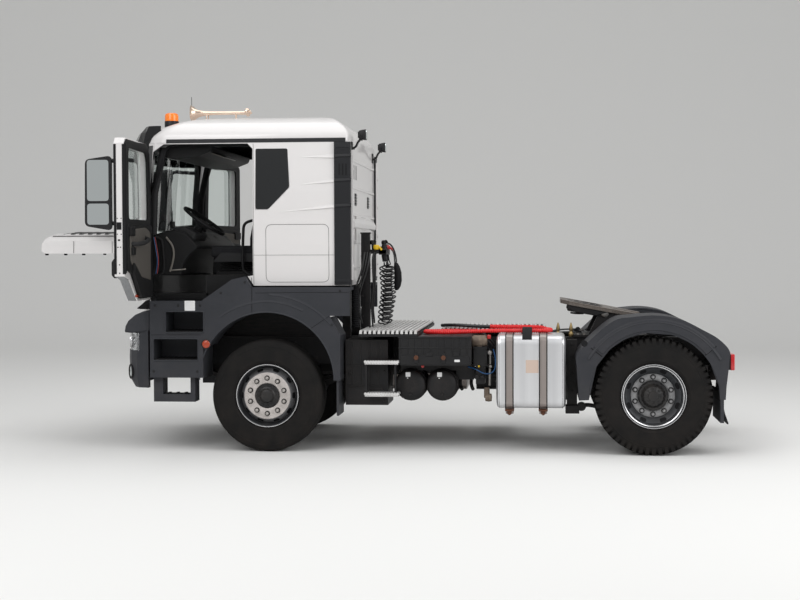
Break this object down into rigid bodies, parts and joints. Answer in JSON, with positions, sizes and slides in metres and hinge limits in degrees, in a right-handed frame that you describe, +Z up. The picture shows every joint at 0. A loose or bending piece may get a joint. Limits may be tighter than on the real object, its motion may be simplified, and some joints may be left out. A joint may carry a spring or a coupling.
{
  "type": "tractor unit",
  "caption": "Tractor unit with a short cab, side steps, fuel tank and battery box, deck plates, tilting fifth-wheel coupling, opening doors, lifting front flap and steered front wheels.",
  "frame": {"origin": "on the ground, centred under the box around the whole truck as stored", "axes": "+X towards the tail, +Y towards the truck's right side, +Z up"},
  "size_m": [6.565, 4.2377, 3.36],
  "materials": {
    "white_paint": "glossy white paint",
    "grey_plastic": "dark grey grained moulding",
    "black_plastic": "black moulding",
    "chassis_black": "satin black chassis paint",
    "rubber": "dull tyre rubber with a little dust",
    "rim_silver": "silver wheel paint",
    "aluminium": "mill finish",
    "stainless": "brushed, slightly stained",
    "glass": "clear, faintly green",
    "lamp_lens": "clear lens over a bright reflector",
    "amber_lens": "clear amber dome",
    "chrome": "polished, warm toned",
    "cabin_trim": "soft black trim",
    "seat_cloth": "black seat cloth",
    "red_hose": "red ribbed sleeve"
  },
  "bodies": {
    "chassis": {"additive_tank": "black_plastic", "air_coil_1": "black_plastic", "air_coil_2": "black_plastic", "air_line_bracket": "chassis_black", "air_tanks": "chassis_black", "battery_box": "black_plastic", "bumper": "grey_plastic", "engine": "chassis_black", "fifth_wheel_base": "chassis_black", "frame": "chassis_black", "front_axle": "chassis_black", "front_deck": "aluminium", "fuel_tank": "aluminium", "left_front_fender": "grey_plastic", "left_headlamp": "lamp_lens", "left_rear_fender": "grey_plastic", "left_side_steps": "chassis_black", "rear_axle": "chassis_black", "rear_deck": "aluminium", "red_hose": "red_hose", "right_front_fender": "grey_plastic", "right_headlamp": "lamp_lens", "right_rear_fender": "grey_plastic", "silencer": "stainless", "tail_bar": "black_plastic", "tank_straps": "stainless"},
    "cab": {"cab_shell": "white_paint", "cab_roof": "white_paint", "windscreen": "glass", "left_corner_panel": "black_plastic", "right_corner_panel": "black_plastic", "dashboard": "cabin_trim", "left_seat": "seat_cloth", "right_seat": "seat_cloth", "air_horns": "chrome", "beacon": "amber_lens", "sun_visor": "black_plastic", "work_lamps": "black_plastic"},
    "front_flap": {"front_flap": "white_paint"},
    "fifth_wheel": {"fifth_wheel_plate": "chassis_black"},
    "left_door": {"left_door": "white_paint", "left_door_glass": "glass", "left_mirror": "black_plastic"},
    "left_knuckle": {"left_knuckle": "chassis_black"},
    "left_front_wheel": {"left_front_tyre": "rubber", "left_front_rim": "rim_silver"},
    "left_rear_wheels": {"left_rear_tyre_outer": "rubber", "left_rear_tyre_inner": "rubber", "left_rear_rims": "rim_silver"},
    "right_door": {"right_door": "white_paint", "right_door_glass": "glass", "right_mirror": "black_plastic"},
    "right_knuckle": {"right_knuckle": "chassis_black"},
    "right_front_wheel": {"right_front_tyre": "rubber", "right_front_rim": "rim_silver"},
    "right_rear_wheels": {"right_rear_tyre_outer": "rubber", "right_rear_tyre_inner": "rubber", "right_rear_rims": "rim_silver"}
  },
  "joints": [
    {"name": "cab_tilt", "type": "hinge", "parent": "chassis", "child": "cab", "pos_m": [-2.348, 0, 0.95], "axis": [0, -1, 0], "range_deg": [0, 55]},
    {"name": "front_flap_lift", "type": "hinge", "parent": "cab", "child": "front_flap", "pos_m": [-2.478, 0, 2.04], "axis": [0, 1, 0], "range_deg": [-90, 0]},
    {"name": "left_door_hinge", "type": "hinge", "parent": "cab", "child": "left_door", "pos_m": [-2.223, -1.095, 1.44], "axis": [0, 0, 1], "range_deg": [0, 88]},
    {"name": "right_door_hinge", "type": "hinge", "parent": "cab", "child": "right_door", "pos_m": [-2.223, 1.095, 1.44], "axis": [0, 0, -1], "range_deg": [-10, 78]},
    {"name": "left_steer", "type": "hinge", "parent": "chassis", "child": "left_knuckle", "pos_m": [-1.048, -0.9, 0.53], "axis": [0, 0, 1], "range_deg": [-40, 40]},
    {"name": "right_steer", "type": "hinge", "parent": "chassis", "child": "right_knuckle", "pos_m": [-1.048, 0.9, 0.53], "axis": [0, 0, 1], "range_deg": [-40, 40]},
    {"name": "fifth_wheel_tilt", "type": "hinge", "parent": "chassis", "child": "fifth_wheel", "pos_m": [2.139, 0, 1.277], "axis": [0, -1, 0], "range_deg": [0, 22]},
    {"name": "left_front_wheel_spin", "type": "hinge", "parent": "left_knuckle", "child": "left_front_wheel", "pos_m": [-1.048, -1.02, 0.53], "axis": [0, 1, 0], "continuous": true},
    {"name": "left_rear_wheel_spin", "type": "hinge", "parent": "chassis", "child": "left_rear_wheels", "pos_m": [2.552, -1.07, 0.545], "axis": [0, 1, 0], "continuous": true},
    {"name": "right_front_wheel_spin", "type": "hinge", "parent": "right_knuckle", "child": "right_front_wheel", "pos_m": [-1.048, 1.02, 0.53], "axis": [0, 1, 0], "continuous": true},
    {"name": "right_rear_wheel_spin", "type": "hinge", "parent": "chassis", "child": "right_rear_wheels", "pos_m": [2.552, 1.07, 0.545], "axis": [0, 1, 0], "continuous": true}
  ],
  "couplings": [
    {"joint": "right_steer", "follows": "left_steer", "ratio": 1}
  ]
}
